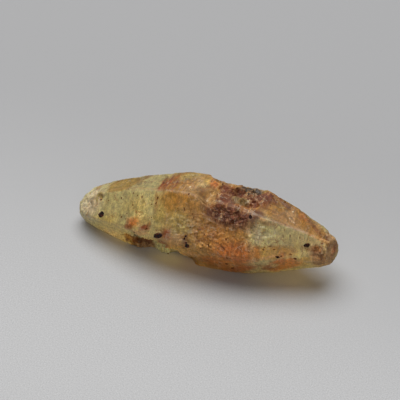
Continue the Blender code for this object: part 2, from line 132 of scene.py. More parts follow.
# Middle, half sizes (along, across, deep), (face angle, slant), colour, strength,
# edge softness. The face angle goes round the crystal: front 0, top 90, back 180.
# Half a turn more gives the same ellipsoid, and lets the patch cross the ridge.
PATCHES = (
    ("middle", (0.9, 0.0, 4.0), (5.4, 6.5, 6.5), (180, 0), "caramel", 0.9, 0.12),
    ("tip_right", (12.7, -1.0, 4.7), (1.74, 2.16, 1.9), (213, 13), "rose", 0.9, 0.3),
    ("right_green", (7.9, -2.1, 6.1), (2.54, 1.29, 2.2), (33, 1), "green", 1.0, 0.25),
    ("olive_top", (-8.8, 0.8, 5.4), (1.73, 1.35, 1.6), (103, 36), "olive", 1.0, 0.15),
    ("frost_left", (-11.7, -0.8, 3.5), (1.31, 1.78, 1.6), (226, 13), "frost", 0.8, 0.5),
    ("gold_caramel", (-2.8, -1.7, 6.9), (1.82, 1.27, 1.6), (42, 13), "gold_brown", 0.8, 0.5),
    ("caramel_front", (-2.4, -1.8, 6.9), (2.22, 1.57, 2.0), (42, 13), "gold_brown", 0.75, 0.4),
    ("tan_right_top", (7.6, 0.6, 7.0), (3.26, 2.3, 2.2), (95, -27), "tan_brown", 0.95, 0.35),
    ("fibrous_centre", (1.1, -3.2, 5.9), (2.44, 2.15, 2.2), (38, 13), "tan", 0.55, 0.6),
    ("orange_low", (4.5, -4.3, 4.3), (2.14, 1.37, 1.9), (35, 13), "orange_brown", 0.95, 0.5),
    ("back_rust", (3.0, 3.6, 3.0), (1.8, 1.6, 1.6), (200, 0), "rust", 0.7, 0.7),
    ("back_middle", (1.5, 3.4, 4.5), (4.0, 2.5, 2.5), (170, 0), "brown", 0.6, 0.6),
    ("crust_back", (3.6, 0.8, 7.5), (2.7, 1.9, 1.3), (275, 0), "maroon", 0.95, 0.25),
    ("crust_front", (3.3, -1.7, 7.3), (2.6, 1.2, 1.3), (235, -10), "maroon", 0.9, 0.35),
    ("crust_right", (4.8, 0.6, 7.6), (1.18, 1.74, 1.6), (276, 23), "maroon", 0.95, 0.35),
    ("crust", (2.6, 0.2, 7.8), (1.47, 2.16, 1.9), (278, 24), "maroon", 1.0, 0.25),
    ("right_brown_tip", (12.3, -1.6, 4.6), (1.12, 0.98, 1.0), (33, 13), "rose", 0.95, 0.5),
    # Painted light: bright green on the downward-facing underside stands in for light passing through the
    # crystal.
    ("painted_glow_low_b", (-2.7, -1.2, 0.0), (0.88, 1.0, 0.9), (-24, -12), "green", 1.0, 0.35),
    ("green_top", (-6.1, 0.9, 6.3), (0.97, 0.91, 0.9), (102, 47), "green", 0.85, 0.4),
    ("pale_border", (-5.0, -1.9, 5.8), (0.3, 1.57, 1.4), (44, 13), "mint", 0.3, 0.6),
    ("right_pale", (6.9, -2.5, 5.9), (0.98, 1.02, 0.9), (33, -68), "mint", 0.9, 0.5),
    # Painted light: pale mint on the downward-facing underside stands in for light passing through the
    # crystal.
    ("painted_glow_low_a", (-4.0, -1.5, 0.4), (1.2, 1.23, 1.1), (-24, -4), "mint", 1.0, 0.35),
    ("gold_low_left", (-9.6, -2.5, 3.0), (1.31, 0.54, 1.2), (46, 13), "green_gold", 0.55, 0.4),
    ("olive_facet", (-8.9, -1.5, 0.8), (1.25, 1.41, 1.3), (-23, -39), "green_gold", 0.85, 0.4),
    ("green_low_centre", (-3.8, -2.8, 5.5), (0.81, 1.27, 1.1), (43, 13), "green_gold", 0.8, 0.6),
    ("pale_centre", (-1.9, -3.1, 5.7), (1.32, 1.08, 1.2), (41, 13), "green_gold", 0.7, 0.6),
    ("top_rim", (-2.3, 1.9, 7.4), (1.38, 0.58, 1.2), (100, 26), "green_gold", 0.7, 0.5),
    ("mottle_left", (-6.3, -1.8, 5.4), (1.31, 0.89, 1.2), (45, 13), "olive", 0.62, 0.8),
    ("top_olive", (7.1, 1.4, 7.1), (0.84, 0.77, 0.8), (95, -27), "olive", 0.7, 0.5),
    ("right_beige", (9.9, -1.9, 5.5), (0.92, 0.88, 0.8), (33, 13), "beige", 0.6, 0.7),
    ("low_pale", (-9.1, -1.5, 0.8), (1.56, 0.99, 1.4), (157, -39), "frost", 0.8, 0.5),
    ("right_gold", (8.0, -3.1, 4.7), (2.04, 0.64, 1.8), (33, 15), "gold_brown", 0.9, 0.4),
    ("gold_right_top", (7.2, 0.9, 7.1), (1.09, 0.77, 1.0), (95, -27), "gold_brown", 0.6, 0.5),
    ("caramel_top", (-2.4, -0.0, 7.6), (1.18, 0.97, 1.1), (100, 26), "gold_brown", 0.9, 0.4),
    ("streak_ground", (-3.9, 0.2, 7.2), (1.89, 0.98, 1.7), (101, 88), "gold_brown", 0.75, 0.5),
    ("tip_right_top", (11.0, -0.2, 6.0), (2.03, 1.04, 1.8), (95, -32), "tan_brown", 0.95, 0.3),
    # Painted shade: the up-facing ledge is drawn darker than the tan round it.
    ("ledge", (0.3, -0.2, 7.5), (1.14, 1.59, 1.4), (279, -19), "dull_tan", 1.0, 0.25),
    ("gold_low_b", (-7.6, -2.8, 2.6), (0.78, 0.71, 0.7), (-23, -16), "gold", 0.25, 0.6),
    ("right_gold_b", (7.1, -3.3, 4.7), (0.71, 0.69, 0.6), (33, 13), "gold", 0.7, 0.5),
    ("low_gold", (10.7, -2.3, 3.5), (1.02, 0.52, 0.9), (-27, 36), "gold", 0.8, 0.4),
    ("gold_left", (-5.6, -3.1, 4.5), (1.01, 0.79, 0.9), (45, 13), "gold", 0.6, 0.7),
    ("gold_break", (-1.5, -3.6, 2.5), (0.78, 1.14, 1.0), (-25, -17), "gold", 0.9, 0.5),
    ("orange_right_top", (9.5, 0.7, 6.5), (0.68, 1.35, 1.2), (95, 23), "amber", 0.6, 0.8),
    ("red_centre", (2.4, -3.8, 5.2), (1.32, 1.27, 1.2), (37, 13), "orange_brown", 0.45, 0.8),
    ("low_brown", (2.2, -3.4, 2.1), (1.49, 1.32, 1.3), (-26, -4), "orange_brown", 0.85, 0.4),
    ("right_strip", (9.1, -3.0, 3.8), (1.43, 0.33, 1.3), (33, 19), "orange", 0.95, 0.4),
    ("dark_break", (-6.3, -1.3, 0.8), (1.49, 0.64, 1.3), (157, 25), "rust", 1.0, 0.35),
    ("ridge_brown_b", (5.1, 0.1, 7.2), (0.9, 0.66, 0.8), (276, -18), "brown", 0.7, 0.5),
    ("ridge_dark", (5.6, 0.1, 7.5), (0.72, 0.82, 0.7), (276, -44), "brown", 0.7, 0.5),
    ("brown_below", (3.7, -2.7, 6.5), (1.83, 0.88, 1.6), (36, 13), "brown", 0.75, 0.8),
    ("rim_b", (7.9, 1.3, 6.9), (2.05, 0.28, 1.8), (95, -27), "brown", 1.0, 0.4),
    ("rim_c", (10.8, 0.3, 6.1), (1.96, 0.26, 1.8), (95, -35), "brown", 0.95, 0.4),
    ("brown_centre", (3.2, -2.1, 7.3), (2.64, 1.08, 2.2), (217, 1), "maroon", 0.92, 0.5),
    ("rust_ridge", (5.7, -1.4, 7.6), (0.81, 0.69, 0.7), (214, -7), "maroon", 0.85, 0.35),
    ("crust_hole", (5.0, 0.4, 7.3), (0.8, 0.78, 0.7), (276, 6), "maroon", 0.9, 0.4),
    ("dark_right_top", (5.9, 1.3, 7.4), (1.06, 0.79, 1.0), (96, -24), "maroon", 0.75, 0.7),
    ("pit_dish", (3.6, 0.7, 7.8), (1.05, 1.45, 0.8), (277, 0), "pit", 0.95, 0.3),
    ("pit_floor", (3.6, 0.1, 7.8), (0.83, 1.15, 1.0), (277, 24), "pit", 1.0, 0.35),
    # Painted shadow: black in the pit's hollow and under the overhang at the lower left.
    ("pit_shadow", (3.9, 2.3, 7.0), (1.18, 0.81, 1.1), (277, 24), "black_brown", 1.0, 0.4),
    ("overhang_shadow", (-5.9, -1.7, 0.1), (0.99, 0.59, 0.9), (157, 26), "black_brown", 1.0, 0.35),
    ("pink_chips", (-6.3, -1.6, 0.4), (1.49, 0.39, 1.3), (157, 25), "pale_tan", 0.9, 0.4),
    ("pale_break", (-0.2, -3.6, 2.4), (0.78, 0.77, 0.7), (-25, -22), "pale_tan", 0.6, 0.6),
    ("tan_break", (-1.5, -4.3, 4.5), (1.01, 0.59, 0.9), (41, 13), "pale_tan", 0.6, 0.7),
    ("pale_top", (-1.0, 1.5, 7.6), (0.69, 0.95, 0.9), (100, 25), "pale_tan", 0.5, 0.8),
    ("pink_frost", (-11.3, -1.0, 3.5), (0.6, 0.99, 0.9), (226, 13), "rose", 0.35, 0.8),
    ("grain_chip_b", (-2.4, -4.3, 4.3), (0.35, 0.25, 0.5), (42, 13), "rose", 0.8, 0.5),
    ("top_left_pale", (-10.7, 0.7, 4.5), (0.54, 0.41, 0.5), (103, 69), "green", 0.9, 0.4),
    ("pale_left", (-5.4, -0.8, 6.7), (0.7, 0.35, 0.6), (45, 38), "mint", 0.2, 0.5),
    ("pale_left_b", (-9.6, -0.3, 5.1), (0.6, 0.25, 0.5), (46, 13), "mint", 0.6, 0.5),
    ("band_right", (10.0, -2.2, 5.0), (0.31, 0.78, 0.7), (33, 13), "green_gold", 0.6, 0.6),
    ("chip_green", (-0.7, -3.5, 5.4), (0.61, 0.39, 0.5), (40, 13), "green_gold", 0.55, 0.7),
    ("left_ring", (-10.8, -0.4, 4.1), (0.44, 0.51, 0.5), (226, 13), "olive_grey", 1.0, 0.25),
    ("grey_strip", (6.6, -3.3, 2.9), (0.41, 0.2, 0.5), (213, 13), "olive_grey", 0.9, 0.4),
    ("tip_pale", (11.4, -1.3, 5.6), (1.01, 0.35, 0.9), (33, -9), "beige", 0.85, 0.4),
    ("tip_beige", (12.6, -1.1, 5.1), (0.41, 0.88, 0.8), (33, 13), "beige", 0.6, 0.6),
    ("ledge_left", (-0.7, 1.0, 7.6), (0.65, 0.55, 0.6), (99, -11), "beige", 0.6, 0.5),
    ("left_ring_pale", (-11.4, 0.1, 4.1), (0.16, 0.12, 0.5), (226, 13), "frost", 0.9, 0.3),
    ("mint_band", (6.3, -2.7, 6.0), (0.36, 0.78, 0.7), (34, 22), "frost", 0.6, 0.6),
    ("crumb_left_b", (-4.6, -3.3, 4.7), (0.2, 0.29, 0.5), (44, 13), "tan_brown", 0.8, 0.5),
    ("brown_line_top", (-6.7, 1.6, 6.1), (0.63, 0.19, 0.6), (103, 62), "tan_brown", 0.7, 0.5),
    ("tip_gold", (10.7, -2.5, 4.2), (0.72, 0.2, 0.6), (33, 18), "gold", 0.8, 0.4),
    ("gold_right", (7.5, -3.2, 4.7), (0.92, 0.39, 0.8), (33, 13), "gold", 0.8, 0.4),
    # Painted highlight: a bright gold spot.
    ("painted_glint_gold", (-6.4, -3.1, 4.2), (0.26, 0.22, 0.5), (45, 13), "gold", 0.9, 0.5),
    ("gold_ledge", (-0.3, 1.5, 7.6), (0.49, 0.56, 0.5), (99, 25), "gold", 0.8, 0.5),
    ("orange_side", (6.5, -3.6, 4.6), (0.41, 0.69, 0.6), (33, 13), "amber_deep", 0.8, 0.5),
    ("low_red", (4.4, -2.9, 1.4), (2.15, 0.61, 1.9), (-26, 31), "orange_brown", 0.95, 0.4),
    ("crumb_left_a", (-5.1, -3.5, 4.3), (0.54, 0.2, 0.5), (44, 43), "orange_brown", 0.9, 0.5),
    ("orange_ledge", (0.4, 1.3, 7.7), (0.44, 0.74, 0.7), (99, 25), "orange_brown", 0.85, 0.5),
    ("streak_b_b", (-3.6, 0.3, 7.2), (1.37, 0.13, 1.2), (101, 88), "orange_brown", 0.9, 0.5),
    ("streak_c", (-3.6, 1.4, 7.1), (0.85, 0.2, 0.8), (101, 81), "orange_brown", 0.9, 0.5),
    ("low_orange", (8.9, -2.4, 2.7), (1.85, 0.68, 1.7), (-27, 34), "orange", 0.9, 0.4),
    ("orange_left", (-6.4, -3.0, 4.3), (0.65, 0.49, 0.6), (45, 13), "orange", 0.75, 0.6),
    ("top_orange", (9.6, 0.8, 6.5), (0.52, 0.38, 0.5), (95, -34), "orange", 0.6, 0.6),
    ("tip_rim", (13.0, 0.1, 4.0), (0.2, 0.78, 0.7), (213, 13), "rust", 0.55, 0.6),
    ("red_strip", (7.4, -3.1, 2.9), (0.51, 0.15, 0.5), (33, 13), "rust", 0.85, 0.5),
    ("low_red_b", (7.3, -2.7, 2.3), (0.68, 0.53, 0.6), (-27, 32), "rust", 0.8, 0.4),
    ("red_low", (5.0, -3.4, 2.4), (1.22, 0.34, 1.1), (35, 13), "rust", 0.6, 0.6),
    ("red_left", (-6.8, -3.4, 3.8), (0.45, 0.3, 0.5), (46, 13), "rust", 0.85, 0.5),
    ("brown_left_a", (-4.9, -3.6, 4.4), (0.5, 0.29, 0.5), (44, 13), "rust", 0.9, 0.5),
    ("red_by_grain", (-2.6, -4.0, 4.6), (0.46, 0.44, 0.5), (42, 13), "rust", 0.9, 0.5),
    ("streak_a", (-4.6, -0.2, 7.0), (1.41, 0.14, 1.3), (102, 90), "rust", 1.0, 0.5),
    ("streak_a_b", (-4.3, 0.1, 7.0), (1.43, 0.12, 1.3), (101, -89), "rust", 0.9, 0.5),
    ("streak_b", (-4.0, 0.5, 7.1), (1.75, 0.15, 1.6), (101, 90), "rust", 1.0, 0.5),
    ("streak_d", (-3.2, 0.1, 7.4), (1.21, 0.12, 1.1), (101, 89), "rust", 0.8, 0.6),
    ("left_ring_dark", (-10.6, -0.6, 4.0), (0.16, 0.13, 0.5), (226, -16), "brown", 0.8, 0.5),
    ("low_dark", (0.8, -3.3, 1.8), (0.69, 0.57, 0.6), (155, -23), "brown", 0.7, 0.5),
    ("ridge_brown", (4.9, -1.2, 7.7), (0.91, 0.3, 0.8), (215, -11), "brown", 0.8, 0.5),
    ("crust_rim", (2.1, 1.6, 7.7), (1.0, 0.32, 0.9), (278, 33), "brown", 0.9, 0.4),
    ("dark_border", (-4.6, -1.4, 6.4), (0.16, 1.18, 1.1), (44, 17), "brown", 0.55, 0.7),
    ("tip_dark", (11.8, -1.6, 5.1), (0.61, 0.34, 0.6), (33, 13), "brown", 0.8, 0.5),
    ("brown_column", (1.1, -3.4, 5.6), (0.36, 0.78, 0.7), (39, 13), "brown", 0.45, 0.7),
    ("dark_column", (0.4, -3.8, 5.1), (0.2, 0.68, 0.6), (39, 21), "brown", 0.7, 0.5),
    ("zigzag", (-0.5, -4.2, 4.6), (0.3, 0.68, 0.6), (40, 5), "brown", 0.6, 0.6),
    ("dark_notch", (0.8, -3.3, 5.8), (0.51, 0.16, 0.5), (39, 27), "brown", 0.9, 0.5),
    ("low_rust", (2.0, -3.1, 1.3), (1.2, 0.33, 1.1), (-26, 38), "brown", 0.8, 0.5),
    ("brown_spot", (7.0, -1.7, 7.0), (0.71, 0.24, 0.6), (33, 3), "brown", 0.6, 0.5),
    ("olive_top_end", (-7.2, 0.8, 6.0), (0.4, 0.63, 0.6), (103, 28), "brown", 0.5, 0.6),
    ("top_left_brown", (-11.5, 0.9, 4.0), (0.72, 0.22, 0.7), (103, 74), "brown", 0.6, 0.5),
    ("rim_left_a", (-9.4, 1.8, 5.0), (1.79, 0.18, 1.6), (103, 51), "brown", 0.65, 0.5),
    ("rim_left_b", (-6.6, 2.1, 6.0), (1.21, 0.19, 1.1), (103, 34), "brown", 0.65, 0.5),
    ("top_crack_b", (8.0, 0.7, 6.9), (0.41, 0.11, 0.5), (95, -39), "brown", 0.85, 0.5),
    ("dark_knot", (-5.4, -1.3, 0.8), (0.39, 0.48, 0.5), (157, -16), "maroon", 0.9, 0.4),
    ("dark_knot_b", (-6.8, -1.5, 0.7), (0.5, 0.34, 0.5), (157, 38), "maroon", 0.8, 0.4),
    ("red_under_grain", (-3.0, -3.9, 3.4), (0.5, 0.71, 0.6), (-24, 26), "maroon", 0.8, 0.5),
    ("rim_a", (5.8, 1.6, 7.4), (1.18, 0.35, 1.1), (96, -24), "maroon", 0.95, 0.4),
    ("top_crack_a", (8.7, 0.0, 6.8), (0.64, 0.12, 0.6), (95, -44), "maroon", 0.85, 0.5),
    ("top_red", (6.1, 1.5, 7.4), (0.59, 0.47, 0.5), (96, -24), "maroon", 0.7, 0.5),
    ("rim_d", (12.5, -0.3, 5.4), (0.79, 0.23, 0.7), (95, -36), "maroon", 0.7, 0.5),
    ("streak_e", (-4.6, 1.1, 6.8), (0.69, 0.14, 0.6), (102, 89), "maroon", 0.7, 0.6),
    # Painted shadow: black in the hollow behind the pit and in the cavity at the lower left.
    ("pit_back_shadow", (3.1, 2.8, 6.6), (0.78, 0.43, 0.7), (277, 24), "black_brown", 0.95, 0.4),
    ("cavity_shadow", (-5.9, -3.2, 2.7), (0.42, 0.24, 0.5), (157, 7), "black_brown", 0.8, 0.5),
    ("ledge_pale", (0.9, -0.8, 7.4), (0.54, 0.63, 0.6), (278, -11), "pale_tan", 0.35, 0.6),
    ("pale_line", (7.5, -3.5, 4.3), (0.82, 0.09, 0.7), (33, 26), "pale_tan", 0.9, 0.5),
    # Painted highlight: a small pale pink spot.
    ("painted_glint_pink", (6.4, -1.7, 7.3), (0.35, 0.2, 0.5), (34, 13), "pale_tan", 1.0, 0.4),
    ("pale_column", (5.3, -2.7, 6.3), (0.2, 0.88, 0.8), (35, 13), "pale_tan", 0.55, 0.5),
    ("pale_chip_left", (-5.4, -3.7, 3.7), (1.11, 0.24, 1.0), (44, 10), "pale_tan", 0.95, 0.35),
    ("grain_chip", (-1.5, -4.1, 4.7), (0.51, 0.34, 0.5), (41, 13), "pale_tan", 0.9, 0.4),
    ("chip_pale", (-0.3, -2.5, 6.6), (0.61, 0.49, 0.5), (40, 13), "pale_tan", 0.45, 0.7),
    ("pale_right_top", (8.6, 0.6, 6.7), (0.34, 0.85, 0.8), (95, 23), "pale_tan", 0.7, 0.5),
    ("top_pale_b", (8.3, 0.5, 6.8), (0.52, 0.38, 0.5), (95, -34), "pale_tan", 0.75, 0.5),
    ("pale_mid_top", (-1.4, -0.3, 7.7), (0.59, 0.57, 0.5), (100, 26), "pale_tan", 0.6, 0.7),
)

# Frosted or crusted places pass less light: middle, half sizes, share passed.
CLOUDS = (
    ((-5.8, -1.6, 3.0), (1.3, 1.4, 3.0), 0.1),
    # This place is clouded only so that the underside shows its bright painted light.
    ((-3.4, -1.4, 0.3), (2.0, 1.3, 1.1), 0.06),
    ((-12.5, -0.2, 3.0), (2.4, 2.4, 2.0), 0.25),
    ((12.6, -0.8, 4.4), (2.2, 2.0, 1.6), 0.2),
    ((3.0, 0.4, 7.1), (3.4, 3.2, 1.8), 0.05),
    ((3.6, -3.6, 4.3), (3.4, 2.0, 2.4), 0.2),
)

# ---------------------------------------------------------------- grains and flakes

# Black mineral grains in the skin: place, half sizes (along, across), turn.
GRAINS = (
    ((-10.06, -2.04, 3.34), (0.43, 0.32), 33),
    ((-3.43, -4.09, 4.28), (0.57, 0.31), 18),
    ((10.83, -1.69, 5.37), (0.41, 0.23), 13),
    ((8.41, -3.18, 4.36), (0.24, 0.14), 5),
    ((5.18, -1.91, 7.42), (0.21, 0.23), 13),
    ((-10.63, -0.7, 3.96), (0.16, 0.13), 14),
    ((-0.57, -3.94, 4.94), (0.17, 0.13), 52),
    ((-0.68, -4.17, 4.66), (0.21, 0.11), 72),
    ((-0.44, -4.35, 4.46), (0.19, 0.11), -21),
    ((-0.26, -4.49, 4.22), (0.25, 0.24), -3),
)

# Brown specks in the skin, in the same terms.
SPECKS = (
    ((-8.32, -1.05, 5.16), (0.09, 0.11), 13),
    ((-9.69, -1.05, 4.45), (0.08, 0.08), 13),
    ((-7.14, -0.83, 5.96), (0.11, 0.07), 13),
    ((-6.64, -1.06, 5.97), (0.08, 0.08), 13),
    ((-6.11, -1.2, 6.05), (0.08, 0.17), 13),
    ((-6.85, -1.75, 5.26), (0.06, 0.11), 13),
    ((-7.26, -2.32, 4.51), (0.07, 0.07), 13),
    ((-7.77, -2.51, 4.07), (0.13, 0.08), 33),
    ((-4.45, -1.36, 6.52), (0.09, 0.21), -6),
    ((-4.47, -1.73, 6.18), (0.08, 0.17), -16),
    ((-3.83, -2.33, 5.9), (0.08, 0.11), 13),
    ((-2.02, -2.21, 6.59), (0.06, 0.08), 13),
    ((-1.36, -2.21, 6.71), (0.07, 0.27), 28),
    ((-0.25, -2.6, 6.42), (0.07, 0.3), 21),
    ((-0.45, -2.46, 6.56), (0.05, 0.12), 13),
    ((0.74, -3.35, 5.68), (0.22, 0.07), 30),
    ((1.18, -3.58, 5.43), (0.07, 0.25), -5),
    ((0.78, -4.02, 4.91), (0.07, 0.17), 13),
    ((1.89, -2.62, 6.62), (0.06, 0.17), 13),
    ((1.96, -4.45, 4.35), (0.07, 0.12), 13),
    ((2.28, -1.76, 7.67), (0.14, 0.22), 32),
    ((4.36, -2.49, 6.74), (0.07, 0.18), 13),
    ((6.06, 0.26, 7.42), (0.07, 0.41), 21),
    ((6.29, 1.5, 7.32), (0.22, 0.12), -22),
    ((7.41, 1.78, 6.99), (0.15, 0.12), -17),
    ((-1.54, -3.37, 5.46), (0.09, 0.08), 13),
    ((-4.53, -2.79, 5.18), (0.07, 0.08), 13),
    ((-7.21, -2.73, 4.16), (0.06, 0.08), 13),
    ((10.07, -1.56, 5.95), (0.06, 0.15), 13),
    ((9.14, -1.76, 6.08), (0.05, 0.17), 13),
    ((8.51, -1.96, 6.05), (0.04, 0.2), 13),
    ((7.06, -3.08, 5.09), (0.31, 0.04), 26),
    ((7.53, -2.85, 5.2), (0.21, 0.04), 26),
    ((11.56, -1.75, 4.92), (0.09, 0.07), 13),
    ((11.98, -1.78, 4.56), (0.07, 0.08), 13),
    ((12.33, -1.87, 4.11), (0.09, 0.06), 13),
    ((11.69, -1.55, 5.17), (0.23, 0.07), 13),
    ((5.04, -3.51, 5.27), (0.07, 0.12), 13),
    ((4.09, -4.19, 4.53), (0.08, 0.1), 13),
    ((3.75, -4.37, 3.82), (0.14, 0.13), 31),
    ((-4.79, -3.63, 4.33), (0.2, 0.08), 33),
    ((-6.75, -3.38, 3.8), (0.12, 0.07), 13),
    ((-6.12, -3.44, 3.33), (0.1, 0.18), 27),
    ((1.31, -0.48, 7.75), (0.05, 0.22), -7),
    ((3.19, -4.07, 4.79), (0.19, 0.11), -26),
    ((3.35, -3.56, 5.44), (0.11, 0.13), 13),
    ((1.79, -4.21, 4.68), (0.08, 0.22), 24),
    ((5.75, -3.78, 4.7), (0.09, 0.07), 13),
    ((7.97, -2.9, 4.96), (0.14, 0.08), 22),
    ((8.75, -3.01, 4.44), (0.14, 0.08), 22),
    ((9.53, -2.66, 4.6), (0.18, 0.06), -2),
    ((10.01, -2.72, 4.28), (0.18, 0.1), -7),
    ((12.14, -1.06, 5.45), (0.12, 0.08), 13),
    ((3.43, -3.58, 2.37), (0.2, 0.19), 30),
    ((3.85, -3.04, 1.48), (0.22, 0.14), 31),
)

# Painted glints: pale grains that stand in for highlights, in the same terms.
PAINTED_GLINTS = (
    ((-7.05, -1.99, 4.93), (0.07, 0.06), 13),
    ((7.73, -2.05, 6.27), (0.07, 0.05), 13),
    ((8.51, 0.89, 6.76), (0.11, 0.11), 65),
    ((8.53, -0.17, 6.81), (0.15, 0.05), -28),
    ((9.08, -0.43, 6.68), (0.13, 0.05), -34),
    ((-2.42, -4.32, 4.26), (0.08, 0.06), 13),
    ((-1.61, -0.02, 7.67), (0.13, 0.1), 24),
    ((4.56, 0.93, 7.46), (0.1, 0.05), 56),
    ((4.24, 0.71, 7.22), (0.13, 0.06), 79),
    ((-4.08, 0.53, 7.04), (0.29, 0.03), 81),
    ((-3.23, -0.07, 7.37), (0.31, 0.03), 82),
)
SPECK_COUNT = 36  # further specks, scattered all round
SPECK_SPREAD = (-11.5, 12.0, 3.0)  # along the crystal: from, to, and most of them here
AXIS_HEIGHT = 3.8
SCATTER_REACH = 6.0  # specks are dropped onto the skin from this far round the axis
GRAIN_RISE = 0.30  # how much of a grain's depth stands out of the skin

# Groups of flakes inside: middle, spread, how many, size from and to, colour.
FLAKES = (
    ((3.3, -1.0, 5.5), (1.7, 1.2, 1.0), 26, (0.35, 0.8), "rust"),
    ((3.4, -3.0, 3.7), (2.2, 0.8, 0.9), 26, (0.3, 0.8), "orange"),
    ((-5.8, -2.2, 3.1), (1.4, 0.9, 0.8), 16, (0.25, 0.6), "orange"),
    ((8.0, -2.0, 4.2), (1.6, 0.7, 0.5), 14, (0.25, 0.55), "orange"),
    ((-8.0, -0.8, 3.8), (3.0, 1.2, 0.9), 22, (0.2, 0.55), "frost"),
    ((6.9, -0.8, 5.3), (2.2, 1.0, 0.8), 18, (0.2, 0.55), "frost"),
)
FLAKE_COVER = 0.15  # flakes lie at least this deep in the crystal
FLAKE_SCALES = (1.0, 0.65, 0.4)  # a flake that would lie less deep is tried at these
FLAKE_CORNERS = 12
FLAKE_THICKNESS = 0.02  # to each side of its middle


def length(name, description, default, low, high=1.0):
    return FloatProperty(
        name=name,
        description=description,
        default=default,
        min=low,
        max=high,
        precision=6,
        unit="LENGTH",
    )


class SapphireSizes(bpy.types.PropertyGroup):
    """Sizes of the crystal's fine relief, and where the camera stands."""

    grid: length("Mesh Grid", "Size of the remeshed body's faces", 0.085 * MM, 0.05 * MM, 0.5 * MM)
    terrace_height: length(
        "Terrace Height", "Height of the growth terraces on the natural faces", 0.040 * MM, 0.0
    )
    striation_height: length(
        "Striation Height", "Height of the fine lines across the long axis", 0.007 * MM, 0.0
    )
    striation_spacing: length(
        "Striation Spacing", "Distance between the fine lines across the long axis", 0.38 * MM, 0.1 * MM
    )
    camera_distance: length(
        "Camera Distance", "Distance from the camera to the crystal", 0.25, 0.05
    )
    view_width: length(
        "View Width", "Width of what the camera sees at the crystal", 39.08 * MM, 10.0 * MM
    )


def colour(name, description, default):
    return FloatVectorProperty(
        name=name, description=description, default=default, subtype="COLOR", size=3, min=0.0, max=1.0
    )


class SapphireColours(bpy.types.PropertyGroup):
    """Colours of the crystal's zones and of what is in it."""

    green: colour("Green", "Pale yellow-green of the clear left part", (0.77, 0.68, 0.30))
    mint: colour("Mint", "Palest green, low on the clear right part", (0.90, 0.82, 0.37))
    green_gold: colour("Green Gold", "Yellow-green beside the brown zones", (0.76, 0.60, 0.17))
    olive: colour("Olive", "Smooth top face at the left", (0.58, 0.38, 0.07))
    olive_grey: colour("Olive Grey", "Greyish edge under the right part", (0.38, 0.29, 0.09))
    beige: colour("Beige", "Dull pale skin near the right end", (0.76, 0.57, 0.24))
    frost: colour("Frost", "Whitish bloom of the left end", (0.77, 0.65, 0.44))
    rose: colour("Rose", "Pinkish brown of the right end", (0.44, 0.23, 0.10))
    gold: colour("Gold", "Yellow of the lower left edge", (0.78, 0.49, 0.11))
    gold_brown: colour("Gold Brown", "Darker gold of the middle's left half", (0.64, 0.30, 0.03))
    caramel: colour("Caramel", "Warm brown of the middle", (0.58, 0.28, 0.035))
    tan: colour("Tan", "Warm tan of the fibrous middle", (0.58, 0.29, 0.06))
    # Painted sparkle: pinkish pale flecks in the breaks that stand in for small highlights.
    painted_sparkle: colour("Crumb", "Pinkish pale crumbs in the breaks", (0.66, 0.42, 0.24))
    # Painted shade: half as light as the tan round it, so that the ledge, which faces the lamp, looks no
    # lighter.
    dull_tan: colour("Dull Tan", "Smooth ledge beside the pit", (0.28, 0.135, 0.025))
    pale_tan: colour("Pale Tan", "Worn ridges and chipped rims", (0.84, 0.50, 0.20))
    tan_brown: colour("Tan Brown", "Top face at the right", (0.56, 0.27, 0.05))
    amber: colour("Amber", "Light orange low on the right", (0.76, 0.34, 0.03))
    amber_deep: colour("Amber Deep", "Darker amber beside the clear right part", (0.56, 0.19, 0.015))
    orange: colour("Orange", "Brightest iron stain", (0.85, 0.24, 0.012))
    orange_brown: colour("Orange Brown", "Iron stain low in the middle", (0.52, 0.14, 0.015))
    rust: colour("Rust", "Reddish brown stain", (0.42, 0.075, 0.012))
    brown: colour("Brown", "Plain dark brown", (0.34, 0.12, 0.015))
    maroon: colour("Maroon", "Dark red-brown crust", (0.155, 0.036, 0.012))
    # Also used as painted shadow in the pit and under the breaks' overhangs.
    black_brown: colour("Black Brown", "Darkest places in the breaks", (0.02, 0.010, 0.006))
    pit: colour("Pit", "Grey-brown floor of the pit", (0.20, 0.13, 0.05))
    speck: colour("Speck", "Brown mineral specks", (0.20, 0.070, 0.018))
    grain: colour("Grain", "Black mineral grains", (0.008, 0.006, 0.005))
    body_tint: colour("Body Tint", "What the clear crystal lets through", (0.93, 0.84, 0.45))
    shadow_tint: colour("Shadow Tint", "Light that reaches the floor through the crystal", (1.0, 0.74, 0.20))
    window_tint: colour("Window Tint", "Light through the clear break underneath", (0.95, 1.0, 0.70))
    floor: colour("Floor", "Grey sheet under the crystal", (0.520, 0.520, 0.523))
    # Painted light falloff: the sheet is drawn darker towards the back, where less light reaches it.
    floor_painted_falloff: colour("Floor Back", "Its darker tone behind the crystal", (0.400, 0.400, 0.405))


def sizes():
    return bpy.context.scene.sapphire_sizes


def colours():
    return bpy.context.scene.sapphire_colours


# ---------------------------------------------------------------- node helpers


